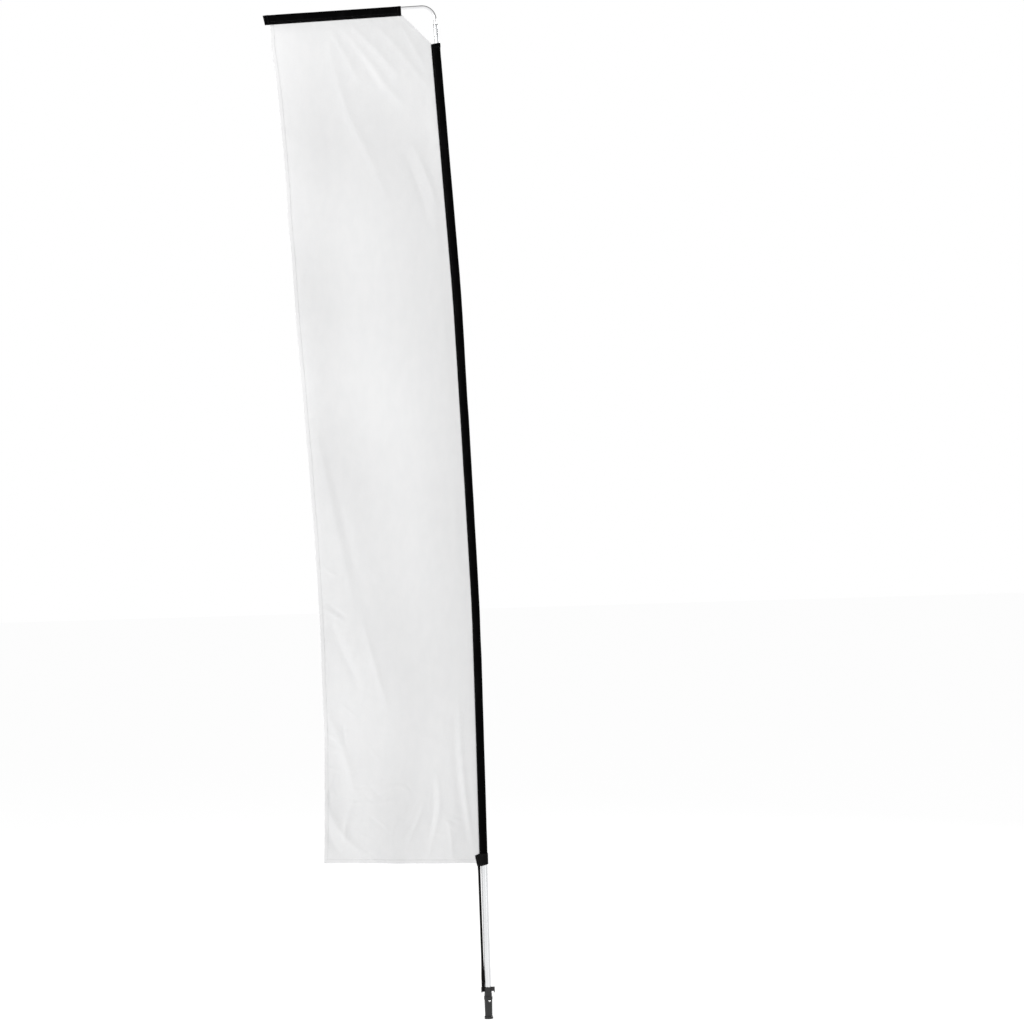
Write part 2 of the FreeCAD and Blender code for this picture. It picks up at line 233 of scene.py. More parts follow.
# ---- the white cloth: outline ----
panel = points_of("flag_panel")
panel_foot_z = panel[:, 2].min()
free_corner_z = panel[panel[:, 0] < panel[:, 0].min() + 0.13][:, 2].min()
free_side = panel[(panel[:, 0] < -0.5)]
free_side = free_side[np.argsort(free_side[:, 2])]


def free_x(z):
    """The bowed free edge, from the CAD panel's outline."""
    levels = np.unique(np.round(free_side[:, 2], 4))
    edge = [free_side[np.abs(free_side[:, 2] - level) < 1e-3][:, 0].min() for level in levels]
    keep = levels < free_side[:, 2].max() - 4 * MM
    return np.interp(z, levels[keep], np.array(edge)[keep])


pocket_foot = pocket_open[pocket_open[:, 2].argmin()]


def under_arm_z(x):
    """The lower edge of the arm's pocket."""
    return pocket_foot[2] + (x - pocket_foot[0]) * arm_way[2] / arm_way[0]


def cloth_outline():
    """Left and right ends of each row of the cloth, from the top edge to the bottom."""
    tip_x = free_x(under_arm_z(free_x(panel[:, 2].max())))
    tuck = 2 * MM
    left_z = np.linspace(under_arm_z(tip_x) + tuck, free_corner_z, CLOTH_ROWS)
    right_z = np.linspace(pocket_foot[2] + tuck, panel_foot_z, CLOTH_ROWS)
    cut_top, cut_foot = pocket_foot[0] + tuck, seam_x(sleeve_top_z)
    on_cut = right_z > sleeve_top_z
    cut = cut_foot + (right_z - sleeve_top_z) / (pocket_foot[2] + tuck - sleeve_top_z) * (cut_top - cut_foot)
    right = np.where(on_cut, cut, seam_x(right_z) + tuck)
    edge = free_x(left_z) + waviness(CLOTH_ROWS, CLOTH_LENGTH, 0.13, 1.3 * MM)
    edge = edge + waviness(CLOTH_ROWS, CLOTH_LENGTH, 0.03, 0.5 * MM)
    return np.stack([edge, left_z], 1), np.stack([right, right_z], 1), int(on_cut.sum())


# ---- the white cloth: folds ----
# Each fold is a line of (x, z) points in metres, its height towards the front and its width in mm.
FOLDS = [
    ([(-0.53, 3.93), (-0.49, 3.735), (-0.441, 3.57), (-0.36, 3.39), (-0.29, 3.2)], 3.0, 20),
    ([(-0.512, 3.93), (-0.455, 3.82), (-0.4, 3.71)], 2.2, 15),
    ([(-0.477, 3.94), (-0.363, 3.794), (-0.295, 3.694), (-0.215, 3.6)], 3.4, 17),
    ([(-0.43, 3.94), (-0.326, 3.829), (-0.245, 3.73)], 2.8, 15),
    ([(-0.335, 3.94), (-0.262, 3.86), (-0.17, 3.74), (-0.125, 3.67)], 2.0, 15),
    ([(-0.232, 3.94), (-0.175, 3.83), (-0.13, 3.74)], 1.8, 12),
    ([(-0.455, 3.9), (-0.385, 3.79), (-0.32, 3.68)], -1.8, 16),
    ([(-0.2, 3.47), (-0.15, 3.34), (-0.103, 3.2)], 2.6, 15),
    ([(-0.235, 3.44), (-0.18, 3.29), (-0.135, 3.12)], -2.0, 16),
    ([(-0.62, 2.36), (-0.574, 2.14), (-0.527, 1.87), (-0.485, 1.66)], 2.8, 20),
    ([(-0.592, 2.32), (-0.533, 2.05), (-0.485, 1.82), (-0.425, 1.58)], -2.8, 22),
    ([(-0.6, 1.8), (-0.575, 1.782), (-0.545, 1.765)], 2.2, 7),
    ([(-0.6, 1.64), (-0.56, 1.61), (-0.52, 1.58)], 2.4, 7),
    ([(-0.59, 1.66), (-0.55, 1.625), (-0.512, 1.598)], -2.0, 7),
    ([(-0.585, 1.6), (-0.54, 1.48), (-0.5, 1.39), (-0.47, 1.3)], -4.0, 18),
    ([(-0.455, 1.6), (-0.42, 1.461), (-0.389, 1.334), (-0.36, 1.22)], 4.0, 16),
    ([(-0.61, 1.24), (-0.56, 1.12), (-0.525, 1.00), (-0.5, 0.88)], 5.5, 20),
    ([(-0.616, 1.16), (-0.588, 1.13), (-0.562, 1.115)], 2.2, 7),
    ([(-0.618, 1.09), (-0.585, 1.075), (-0.548, 1.075)], 2.0, 7),
    ([(-0.618, 1.02), (-0.592, 1.005), (-0.556, 0.995)], 2.0, 7),
    ([(-0.618, 0.88), (-0.585, 0.79), (-0.54, 0.725), (-0.46, 0.65)], 6.0, 17),
    ([(-0.505, 0.875), (-0.53, 0.82), (-0.545, 0.765), (-0.548, 0.71)], 4.5, 11),
    ([(-0.62, 0.8), (-0.6, 0.72), (-0.56, 0.66)], -4.0, 15),
    ([(-0.45, 0.885), (-0.39, 0.915), (-0.33, 0.93), (-0.285, 0.905)], 2.4, 8),
    ([(-0.452, 0.862), (-0.4, 0.868), (-0.345, 0.87)], 1.8, 8),
    ([(-0.228, 0.86), (-0.262, 0.78), (-0.3, 0.7)], 4.0, 10),
    ([(-0.176, 0.98), (-0.17, 0.86), (-0.184, 0.775), (-0.228, 0.62)], 5.0, 12),
    ([(-0.19, 0.93), (-0.196, 0.82), (-0.215, 0.72)], -3.2, 12),
    ([(-0.138, 0.79), (-0.128, 0.72), (-0.125, 0.63)], 3.0, 9),
    ([(-0.082, 1.28), (-0.079, 1.08), (-0.07, 0.92), (-0.052, 0.76), (-0.036, 0.66)], 5.0, 10),
    ([(-0.105, 1.22), (-0.1, 1.02), (-0.088, 0.86), (-0.064, 0.7)], -3.6, 14),
]
FOLD_SHARE = 0.55
# Broad swells: centre (x, z) and half sizes in metres, lean, depth in mm.
SWELLS = [
    ((-0.62, 3.50), (0.10, 0.42), -0.08, 6.0), ((-0.30, 3.62), (0.13, 0.22), -0.5, -5.0),
    ((-0.52, 2.95), (0.12, 0.50), -0.06, -6.0), ((-0.22, 2.75), (0.14, 0.55), -0.1, 5.0),
    ((-0.63, 2.35), (0.08, 0.45), -0.05, 7.0), ((-0.40, 2.10), (0.12, 0.50), -0.12, -6.0),
    ((-0.16, 1.90), (0.10, 0.60), -0.03, 5.0), ((-0.60, 1.45), (0.08, 0.30), -0.1, -6.0),
    ((-0.34, 1.30), (0.13, 0.45), -0.1, 6.0), ((-0.58, 0.95), (0.09, 0.22), -0.2, -8.0),
    ((-0.42, 0.74), (0.11, 0.20), 0.1, 8.0), ((-0.24, 0.95), (0.09, 0.30), 0.1, -6.0),
    ((-0.13, 0.70), (0.06, 0.16), 0.1, 5.0),
]


def fold_relief(x, z, line, height, width):
    """A ridge along a line, highest in the middle and fading out at both ends."""
    path = smooth_line(line, 48)
    best = np.full(x.shape, np.inf)
    share = np.zeros(x.shape)
    for i, (px, pz) in enumerate(path):
        d = np.hypot(x - px, z - pz)
        nearer = d < best
        best[nearer], share[nearer] = d[nearer], i / (len(path) - 1)
    fade = np.sin(np.pi * np.clip(share, 0, 1)) ** 0.7
    return height * fade * np.exp(-(best / (width * MM)) ** 1.6)


def crinkles():
    """Short creases left in the cloth by packing: (place, direction, length, height, width)."""
    areas = [((-0.60, 1.08), (0.05, 0.16), 26, 0.9), ((-0.58, 1.62), (0.05, 0.10), 9, 0.9),
             ((-0.42, 0.80), (0.16, 0.13), 26, 0.8), ((-0.16, 0.74), (0.09, 0.10), 12, 0.8),
             ((-0.36, 1.25), (0.20, 0.45), 24, 0.5), ((-0.35, 2.40), (0.22, 0.80), 20, 0.4)]
    out = []
    for (cx, cz), (half_x, half_z), count, size in areas:
        for _ in range(count):
            place = np.array([cx + rng.normal(0, half_x), cz + rng.normal(0, half_z)])
            angle = rng.choice([0.2, 0.6, 1.3, 2.2, 2.7]) + rng.normal(0, 0.25)
            length = rng.uniform(0.018, 0.055)
            height = rng.choice([-1, 1]) * rng.uniform(0.5, 1.2) * size
            out.append((place, angle, length, height, rng.uniform(4, 7)))
    return out


def crinkle_relief(x, z):
    out = np.zeros(x.shape)
    for place, angle, length, height, width in crinkles():
        dx, dz = x - place[0], z - place[1]
        near = np.abs(dx) + np.abs(dz) < 0.09
        along = dx[near] * math.cos(angle) + dz[near] * math.sin(angle)
        across = dz[near] * math.cos(angle) - dx[near] * math.sin(angle) + along ** 2 * 2
        out[near] += height * np.exp(-(along / length) ** 2 - np.abs(across / (width * MM)) ** 1.7)
    return out


def billow(x, z):
    """The slow wave of the loose side of the cloth."""
    loose = np.clip(-x / 0.62, 0, 1.2) ** 1.3
    return loose * (11 * np.sin(z * 4.6 + 0.5) + 5 * np.sin(z * 9.7 + 2.1 + x * 3))


def relief(x, z):
    """How far the cloth stands towards the front, in metres."""
    out = crinkle_relief(x, z) + billow(x, z)
    for line, height, width in FOLDS:
        out += fold_relief(x, z, line, height * FOLD_SHARE, width)
    for (cx, cz), (half_x, half_z), lean, depth in SWELLS:
        across = (x - cx - lean * (z - cz)) / half_x
        out += depth * np.exp(-across ** 2 - ((z - cz) / half_z) ** 2)
    return out * MM


def build_cloth_grid():
    left, right, cut_rows = cloth_outline()
    share = np.linspace(0, 1, CLOTH_COLUMNS)[None, :]
    x = left[:, :1] * (1 - share) + right[:, :1] * share
    z = left[:, 1:] * (1 - share) + right[:, 1:] * share
    from_pole = (right[:, :1] - x)
    from_top = under_arm_z(x) - z
    held = ease(from_top, 0, 0.05) * np.where(np.arange(CLOTH_ROWS)[:, None] < cut_rows,
                                               1, ease(from_pole, 0, 0.05))
    y = -relief(x, z) * held
    pucker = waviness(CLOTH_ROWS, CLOTH_LENGTH, 0.011, 0.5 * MM)[:, None] * np.exp(-(from_pole / 0.012) ** 2)
    pucker += waviness(CLOTH_ROWS, CLOTH_LENGTH, 0.02, 0.7 * MM)[:, None] * np.exp(-((x - left[:, :1]) / 0.02) ** 2)
    top_pucker = waviness(CLOTH_COLUMNS, 0.5, 0.012, 0.7 * MM)[None, :]
    pucker = (pucker + top_pucker * np.exp(-(from_top / 0.018) ** 2)) * ease(from_top, 0.001, 0.010)
    foot_z = np.interp(share, [0, 1], [free_corner_z, panel_foot_z])
    at_foot = np.exp(-((z - foot_z) / 0.03) ** 2)
    pucker = pucker + waviness(CLOTH_COLUMNS, CLOTH_WIDTH, 0.03, 1.4 * MM)[None, :] * at_foot
    z = z + waviness(CLOTH_COLUMNS, CLOTH_WIDTH, 0.06, 1.4 * MM)[None, :] * at_foot
    return np.stack([x, y + pucker, z], 2), cut_rows


def cloth_normals(grid):
    down = np.gradient(grid, axis=0)
    across = np.gradient(grid, axis=1)
    normal = unit(np.cross(down, across))
    return normal * np.sign(-normal[..., 1:2])


def sample(field, row, column):
    """Bilinear look-up in a grid of points or normals."""
    row = np.clip(row, 0, field.shape[0] - 1.001)
    column = np.clip(column, 0, field.shape[1] - 1.001)
    r, c = row.astype(int), column.astype(int)
    fr, fc = (row - r)[..., None], (column - c)[..., None]
    return ((field[r, c] * (1 - fc) + field[r, c + 1] * fc) * (1 - fr)
            + (field[r + 1, c] * (1 - fc) + field[r + 1, c + 1] * fc) * fr)


def make_cloth(grid, normals):
    """A thin closed sheet: front and back faces and a rim."""
    rows, columns = grid.shape[:2]
    front = grid + normals * CLOTH_T / 2
    back = grid - normals * CLOTH_T / 2
    count = rows * columns
    faces = [f[::-1] for f in grid_faces(rows, columns)]
    faces += grid_faces(rows, columns, first=count)
    rim = ([(0, c) for c in range(columns)] + [(r, columns - 1) for r in range(1, rows)]
           + [(rows - 1, c) for c in range(columns - 2, -1, -1)] + [(r, 0) for r in range(rows - 2, 0, -1)])
    ids = [r * columns + c for r, c in rim]
    faces += [(a, b, b + count, a + count) for a, b in zip(ids, ids[1:] + ids[:1])]
    return make_mesh("flag_cloth", np.concatenate([front.reshape(-1, 3), back.reshape(-1, 3)]), faces)


def rounded_strip(half_width, half_thick, count=5):
    """A closed flat section with rounded edges, centred on the origin, as (across, through) pairs."""
    a = np.linspace(-np.pi / 2, np.pi / 2, count)
    flat = half_width - half_thick
    right = np.stack([flat + half_thick * np.cos(a), half_thick * np.sin(a)], 1)
    top = np.array([(flat * share, half_thick) for share in (0.93, 0.5, 0, -0.5, -0.93)])
    return np.concatenate([right, top, -right, -top])


def make_hem(name, where, length):
    """The doubled border. where(share, inward) gives the cloth's row and column for a place in it."""
    steps = int(length / 6e-3)
    across, through = rounded_strip(HEM / 2 + 0.4 * MM, HEM_T + CLOTH_T / 2).T
    share = np.linspace(0.0008, 1, steps)[:, None] * np.ones(len(across))
    row, column = where(share, np.ones((steps, 1)) * (across + HEM / 2 - 0.2 * MM)[None, :])
    base, normal = sample(grid, row, column), sample(normals, row, column)
    outward = np.minimum(across + HEM / 2 - 0.2 * MM, 0)[None, :, None]
    inward_way = unit(sample(grid, *where(share, share * 0 + HEM)) - sample(grid, *where(share, share * 0)))
    lumps = 1 + 0.25 * waviness(steps, length, 0.02, 1.0)[:, None]
    rings = base + inward_way * outward + normal * (through * lumps)[..., None]
    return closed_band(name, rings)


# ---- stitches ----
def along_run(places, run, values):
    """Rows of values looked up at distances along a line."""
    return np.stack([np.interp(places, run, values[:, k]) for k in range(3)], 1)


def stitches(name, runs):
    """Short threads lying along lines; runs holds (closely spaced points, normals, pitch)."""
    ring = [(math.cos(a), math.sin(a)) for a in np.arange(5) * 2 * np.pi / 5]
    profile = [(-0.5, 0.35), (-0.3, 1.0), (0.3, 1.0), (0.5, 0.35)]
    verts, faces = [], []
    for points, normal, pitch in runs:
        gaps = np.linalg.norm(np.diff(points, axis=0), axis=1)
        run = np.concatenate([[0], np.cumsum(gaps)])
        places = np.arange(pitch * 0.7, run[-1] - pitch * 0.5, pitch)
        at = along_run(places, run, points)
        ahead = along_run(places + 0.5 * MM, run, points)
        out = unit(along_run(places, run, normal))
        way = unit(ahead - at)
        side = unit(np.cross(out, way))
        turn = rng.normal(0, 0.05, len(at))[:, None]
        way = unit(way + side * turn)
        for p, w, s, o in zip(at, way, side, out):
            first = len(verts)
            for along, thick in profile:
                mid = p + w * along * STITCH_LENGTH + o * STITCH_R * (0.55 * thick)
                for a, b in ring:
                    verts.append(mid + s * a * STITCH_R * thick * 1.15 + o * b * STITCH_R * thick)
            faces += grid_faces(len(profile), len(ring), closed=True, first=first)
            faces.append(tuple(first + k for k in range(len(ring)))[::-1])
            faces.append(tuple(first + (len(profile) - 1) * len(ring) + k for k in range(len(ring))))
    return make_mesh(name, verts, faces)


# ---- pockets ----
def pocket_section(hold_r, room, seam, flat_points=9, round_points=30):
    """Half of a cloth pocket's section, from the seam round the front: (towards the seam, out) pairs.
    It goes straight from the seam to a round of hold_r, flat over room, and round what it holds."""
    lip = POCKET_T
    touch = math.acos(min(0.995, (hold_r - lip) / max(seam - room, hold_r)))
    start = np.array([seam, lip])
    shoulder = np.array([room + hold_r * math.cos(touch), hold_r * math.sin(touch)])
    share = np.linspace(0, 1, flat_points)[:-1, None]
    straight = start * (1 - share) + shoulder * share
    angles = np.linspace(touch, math.pi, round_points)
    centre_at = np.where(angles < math.pi / 2, room, 0)
    arc = np.stack([centre_at + hold_r * np.cos(angles), hold_r * np.sin(angles)], 1)
    return np.concatenate([straight, arc])


def pocket_rings(path, toward, hold, room, seam, lumps):
    """Inner and outer skins of a pocket along a path; toward points from what it holds to the seam."""
    outer, inner = [], []
    length = np.linalg.norm(path[-1] - path[0])
    gathers = [waviness(len(path), length, 0.015, 0.5 * MM) for _ in range(2)]
    for i, p in enumerate(path):
        half = pocket_section(hold[i], room[i], seam[i])
        loop = np.concatenate([half, (half * [1, -1])[::-1][1:-1]])
        outward = loop / np.maximum(np.hypot(loop[:, 0], loop[:, 1])[:, None], 1e-9)
        near_seam = np.exp(-((seam[i] - 6 * MM - loop[:, 0]) / (5 * MM)) ** 2)
        gather = np.where(loop[:, 1] > 0, gathers[0][i], -gathers[1][i]) * near_seam
        bulge = lumps[i] * np.clip(loop[:, 1] / hold[i], -1, 1) + gather
        skin = loop + np.stack([np.zeros(len(loop)), bulge], 1)
        grown = skin + outward * [POCKET_T * 0.8, POCKET_T]
        for bag, shape in ((inner, skin), (outer, grown)):
            bag.append(p + toward[i] * shape[:, :1] + FRONT * shape[:, 1:])
    return np.array(outer), np.array(inner)


def ring_lengths(rings):
    """(round, along) cloth coordinates for a tube's points, in metres."""
    step = np.linalg.norm(np.diff(rings, axis=1, append=rings[:, :1]), axis=2)
    round_by = np.concatenate([np.zeros((len(rings), 1)), np.cumsum(step, axis=1)[:, :-1]], 1)
    way = np.linalg.norm(np.diff(rings.mean(1), axis=0), axis=1)
    along = np.concatenate([[0], np.cumsum(way)])[:, None] * np.ones(rings.shape[1])
    return np.stack([round_by, along], 2).reshape(-1, 2)


def woven_tube(name, outer, inner):
    piece = make_shell(name, outer, inner)
    set_uv(piece, np.concatenate([ring_lengths(outer), ring_lengths(inner)]))
    return piece


def make_pole_pocket():
    z = np.linspace(sleeve_foot_z, sleeve_top_z, POCKET_ROWS)
    path = np.stack([pole_x(z), z * 0, z], 1)
    lower_to_middle = ease(z, lower_mouth[2] + 0.24, lower_mouth[2] + 0.34)
    middle_to_upper = ease(z, middle_mouth[2] + 0.14, middle_mouth[2] + 0.24)
    radius = (tube_r["lower_tube"] * (1 - lower_to_middle) + tube_r["middle_tube"] * lower_to_middle
              * (1 - middle_to_upper) + tube_r["upper_tube"] * middle_to_upper)
    hold = radius + POCKET_ROOM + np.abs(waviness(len(z), POCKET_LENGTH, 0.09, 0.35 * MM))
    mouth = ease(z, sleeve_top_z - 0.03, sleeve_top_z)
    hold = hold + mouth * 1.6 * MM
    room = np.full(len(z), SLIDE_ROOM)
    seam = pole_x(z) - seam_x(z)
    lumps = waviness(len(z), POCKET_LENGTH, 0.05, 0.5 * MM)
    toward = np.tile(np.array(LEFT, float), (len(z), 1))
    outer, inner = pocket_rings(path, toward, hold, room, seam, lumps)
    tilt = (outer[-1, :, 0] - outer[-1, :, 0].mean()) * 0.12
    outer[-1, :, 2] += tilt
    inner[-1, :, 2] += tilt
    return woven_tube("pole_pocket", outer, inner), outer


def make_arm_pocket():
    start = (centre(pocket_open) - arm_corner) @ arm_way
    finish = (centre(pocket_closed) - arm_corner) @ arm_way - 1 * MM
    s = np.linspace(start, finish, 130)
    path = arm_corner + arm_way * s[:, None]
    seam_depth = (pocket_open - arm_corner) @ arm_down
    seam = np.full(len(s), seam_depth.max())
    hold = np.full(len(s), 7.2 * MM + POCKET_ROOM) + np.abs(waviness(len(s), ARM_POCKET_LENGTH, 0.07, 0.5 * MM))
    closing = ease(s, finish - 14 * MM, finish)
    hold = hold * (1 - 0.12 * closing)
    lumps = waviness(len(s), ARM_POCKET_LENGTH, 0.045, 0.7 * MM) * (1 - closing)
    toward = np.tile(arm_down, (len(s), 1))
    outer, inner = pocket_rings(path, toward, hold, np.full(len(s), 5 * MM), seam, lumps)
    for skin in (outer, inner):
        depth = ((skin - path[:, None]) @ arm_down) / seam.max()
        skin -= arm_way * (POCKET_END_SKEW * depth * ease(s, finish - 0.05, finish)[:, None])[..., None]
    return woven_tube("arm_pocket", outer, inner), outer


def skin_normals(rings):
    """Outward directions on a tube of rings."""
    around = np.roll(rings, -1, 1) - np.roll(rings, 1, 1)
    normal = unit(np.cross(around, np.gradient(rings, axis=0)))
    outward = rings - rings.mean(1, keepdims=True)
    return normal * np.sign((normal * outward).sum(2).mean())


def make_shell(name, outer, inner, capped=False):
    """Two skins joined round their first ring, and at the last one joined or each closed."""
    rows, columns = outer.shape[:2]
    count = rows * columns
    faces = grid_faces(rows, columns, closed=True) + grid_faces(rows, columns, closed=True, first=count)
    for row in ((0,) if capped else (0, rows - 1)):
        ring = [row * columns + c for c in range(columns)]
        faces += [(a, b, b + count, a + count) for a, b in zip(ring, ring[1:] + ring[:1])]
    if capped:
        faces += [tuple(first + (rows - 1) * columns + c for c in range(columns)) for first in (0, count)]
    return make_mesh(name, np.concatenate([outer.reshape(-1, 3), inner.reshape(-1, 3)]), faces)


def make_pocket_end(outer):
    """The sewn end of the arm's pocket: a cup of the same cloth over its last stretch."""
    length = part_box("tip_patch")[1].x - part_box("tip_patch")[0].x - 2 * MM
    middle = outer.mean(1)
    rows = outer[(middle - middle[-1]) @ -arm_way < length]
    skin = rows + skin_normals(rows) * 0.45 * MM
    end, rings = skin[-1], list(skin)
    for turn in np.radians([25, 50, 70, 82, 88]):
        flat = end.mean(0) + (end - end.mean(0)) * [1, math.cos(turn), 1]
        rings.append(flat + arm_way * 2.2 * MM * math.sin(turn))
    rings = np.array(rings)
    inside = rings - skin_normals(rings) * 0.4 * MM
    inside[len(skin):] = rings[len(skin):] * [1, 0.94, 1] - arm_way * 0.5 * MM
    return make_shell("arm_pocket_end", rings, inside, capped=True), rings


def make_mouth_hem(name, skin, rows):
    """The turned-over edge at a pocket's open end."""
    part, out = skin[rows], skin_normals(skin)[rows]
    fade = np.sin(np.linspace(0.12, 1, len(part)) * np.pi / 2)[:, None, None]
    return make_shell(name, part + out * 0.55 * MM * fade, part - out * 0.1 * MM)


def ring_run(skin, row, lift=0.0):
    """A line of stitching round a tube at one of its rings."""
    points = np.concatenate([skin[row], skin[row][:1]])
    out = skin_normals(skin)[row]
    out = np.concatenate([out, out[:1]])
    return points + out * lift, out, STITCH_PITCH


# ---- webbing tab ----
def tab_section(reach):
    """Inner and outer lines of the tab's front half, from its end on the cloth to the pole's far side."""
    half = pocket_section(tube_r["lower_tube"] + POCKET_ROOM + POCKET_T + 0.8 * MM, SLIDE_ROOM,
                          pole_x(sleeve_foot_z) - seam_x(sleeve_foot_z))
    lip = CLOTH_T / 2 + HEM_T + 0.2 * MM
    flange = np.stack([np.linspace(reach, half[0, 0] + 1 * MM, 8), np.full(8, lip)], 1)
    half[:, 1] = np.where(half[:, 0] > 0, np.maximum(half[:, 1], lip), half[:, 1])
    inner = np.concatenate([flange, half])
    way = unit(np.gradient(inner, axis=0))
    outward = np.stack([way[:, 1], -way[:, 0]], 1)
    outward = outward * np.sign((outward * (inner - [half[0, 0], -5 * MM])).sum(1))[:, None]
    outward[-1] = [-1, 0]
    return inner, inner + outward * TAB_T


def tab_heights(x, share):
    """The tab is cut on the skew: lower and upper edges as heights over the pole's axis."""
    low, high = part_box("sleeve_tab")
    places = np.array([-34, -24, -10, 17]) * MM
    lower = np.interp(x, places, np.array([0, 0.0, 0.5, 7.5]) * MM) + low.z
    upper = np.interp(x, places, np.array([-8, -3.0, -0.5, 0]) * MM) + high.z
    return lower + (upper - lower) * share


def make_tab():
    """Doubled webbing: round the pocket's foot, then flat on both faces of the cloth's corner."""
    low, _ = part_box("sleeve_tab")
    rings = []
    for share in np.linspace(0, 1, 16):
        inner, outer = tab_section(-low.x - (1 - share) * TAB_SKEW)
        front = np.concatenate([outer, (outer * [1, -1])[::-1][1:]])
        behind = np.concatenate([inner, (inner * [1, -1])[::-1][1:]])
        section = np.concatenate([front, behind[::-1]])
        x = -section[:, 0]
        wave = np.sin(share * 9 + x * 160) * 0.25 * MM * ease(share, 0, 0.2) * ease(1 - share, 0, 0.2)
        y = -section[:, 1] * (1 + wave / np.maximum(np.abs(section[:, 1]), 3 * MM))
        rings.append(np.stack([x, y, tab_heights(x, share)], 1))
    return closed_ring("sleeve_webbing", np.array(rings))


def tab_point(x, share, front):
    """A place on the tab's face, a little proud, for its stitching."""
    low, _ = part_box("sleeve_tab")
    _, outer = tab_section(-low.x - (1 - share) * TAB_SKEW)
    order = np.argsort(outer[:, 0])
    y = np.interp(-x, outer[order, 0], outer[order, 1])
    return [x, -y if front else y, tab_heights(x, share)]


def tab_runs():
    """A box and a cross on the flat part, and lines along the upper and lower edges."""
    left, right, low, high = -30 * MM, -19 * MM, 0.10, 0.90
    foot_left = left + 6 * MM
    upper_left, upper_right = (left, high), (right, high)
    lower_left, lower_right = (foot_left, low), (right, low)
    lines = [(upper_left, upper_right), (upper_right, lower_right), (lower_right, lower_left),
             (lower_left, upper_left), (upper_left, lower_right), (lower_left, upper_right),
             (upper_right, (9 * MM, high)), (lower_right, (9 * MM, low))]
    runs = []
    for front in (True, False):
        out = FRONT if front else -FRONT
        for (x0, s0), (x1, s1) in lines:
            shares = np.linspace(0, 1, 40)
            points = [tab_point(x0 + (x1 - x0) * t, s0 + (s1 - s0) * t, front) for t in shares]
            runs.append((np.array(points), np.tile(out, (40, 1)), STITCH_PITCH * 0.85))
    return runs


def closed_ring(name, rings):
    """A band whose section is one long thin outline: its two flat ends are strips of quads."""
    rows, columns = rings.shape[:2]
    half = columns // 2
    faces = grid_faces(rows, columns, closed=True)
    for row, flip in ((0, True), (rows - 1, False)):
        base = row * columns
        for c in range(half - 1):
            quad = (base + c, base + c + 1, base + columns - 2 - c, base + columns - 1 - c)
            faces.append(quad[::-1] if flip else quad)
    return make_mesh(name, rings.reshape(-1, 3), faces)


# ---- strap ----
strap_low, strap_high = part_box("tension_strap")
hook_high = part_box("hook_ring")[1]
strap_x = (strap_low.x + strap_high.x) / 2
STRAP_JOIN_RISE = 40 * MM
STRAP_LEAN = 2.6 * MM           # further out at the tab, clear of the tube as the pole shortens
HOOK_PLATE = 17 * MM            # height of the ear that the loop goes round


def strap_width(z):
    """The stretched elastic is narrower between its two sewn ends."""
    lower = 14.6 - 5.2 * ease(z, hook_high.z + 0.004, hook_high.z + 0.13)
    upper = 9.4 + 1.6 * ease(z, strap_high.z - 0.03, strap_high.z - 0.002)
    return np.where(z < (hook_high.z + strap_high.z) / 2, lower, upper) * MM


def strap_piece(name, points, widths, out, thick=STRAP_T):
    """A flat strap along points; out is the direction its face looks in at each point."""
    way = unit(np.gradient(points, axis=0))
    face = unit(out - way * (out * way).sum(1, keepdims=True))
    side = np.cross(way, face)
    sections = np.array([rounded_strip(w / 2, thick / 2) for w in widths])
    rings = points[:, None] + side[:, None] * sections[..., :1] + face[:, None] * sections[..., 1:]
    piece = closed_band(name, rings)
    run = np.concatenate([[0], np.cumsum(np.linalg.norm(np.diff(points, axis=0), axis=1))])
    across = sections[..., 0]
    set_uv(piece, np.stack([across, run[:, None] * np.ones(across.shape[1])], 2).reshape(-1, 2))
    return piece


def make_strap():
    join_z = hook_high.z + STRAP_JOIN_RISE
    half_z = (join_z + strap_high.z) / 2
    top_z = strap_high.z + 8 * MM
    pieces = []
    halves = (("strap_lower_half", join_z - 12 * MM, half_z), ("strap_upper_half", half_z, top_z))
    for name, low_z, high_z in halves:
        z = np.linspace(low_z, high_z, 60)
        y = np.interp(z, [join_z, strap_high.z], [-1.0 * MM, 0])
        x = np.interp(z, [join_z, strap_high.z], [strap_x, strap_x - STRAP_LEAN])
        points = np.stack([x, y, z], 1)
        out = np.tile(FRONT, (len(z), 1))
        pieces.append(strap_piece(name, points, strap_width(z), out))
    return pieces, half_z, join_z


def make_strap_loop(join_z):
    """The sewn loop: down the front of the hook, under it in the gap, and up behind."""
    plate_half = 6 * MM
    clear = STRAP_T / 2 + 0.35 * MM
    plate_foot = hook_high.z - HOOK_PLATE
    front = plate_half + clear
    knots = np.array([
        (-1.9 * MM, join_z + 12 * MM), (-2.2 * MM, join_z - 2 * MM), (-5.2 * MM, join_z - 22 * MM),
        (-front, hook_high.z - 2 * MM), (-front, plate_foot + 3 * MM),
        (-front + 3.2 * MM, plate_foot - clear), (0, plate_foot - clear - 0.3 * MM),
        (front - 3.2 * MM, plate_foot - clear), (front, plate_foot + 3 * MM),
        (front, hook_high.z - 2 * MM), (4.6 * MM, join_z - 22 * MM), (1.2 * MM, join_z - 2 * MM),
        (0.7 * MM, join_z + 12 * MM)])
    line = smooth_line(knots, 150)
    points = np.stack([np.full(len(line), strap_x), line[:, 0], line[:, 1]], 1)
    way = unit(np.gradient(points, axis=0))
    face = np.cross(way, np.array(RIGHT, float))
    height = points[:, 2]
    levels = [plate_foot - 2 * MM, hook_high.z - 4 * MM, hook_high.z + 6 * MM, join_z + 10 * MM]
    widths = np.interp(height, levels, np.array([8.4, 9.0, 13.4, 12.2]) * MM)
    return strap_piece("strap_loop", points, widths, face, STRAP_T * 0.9)


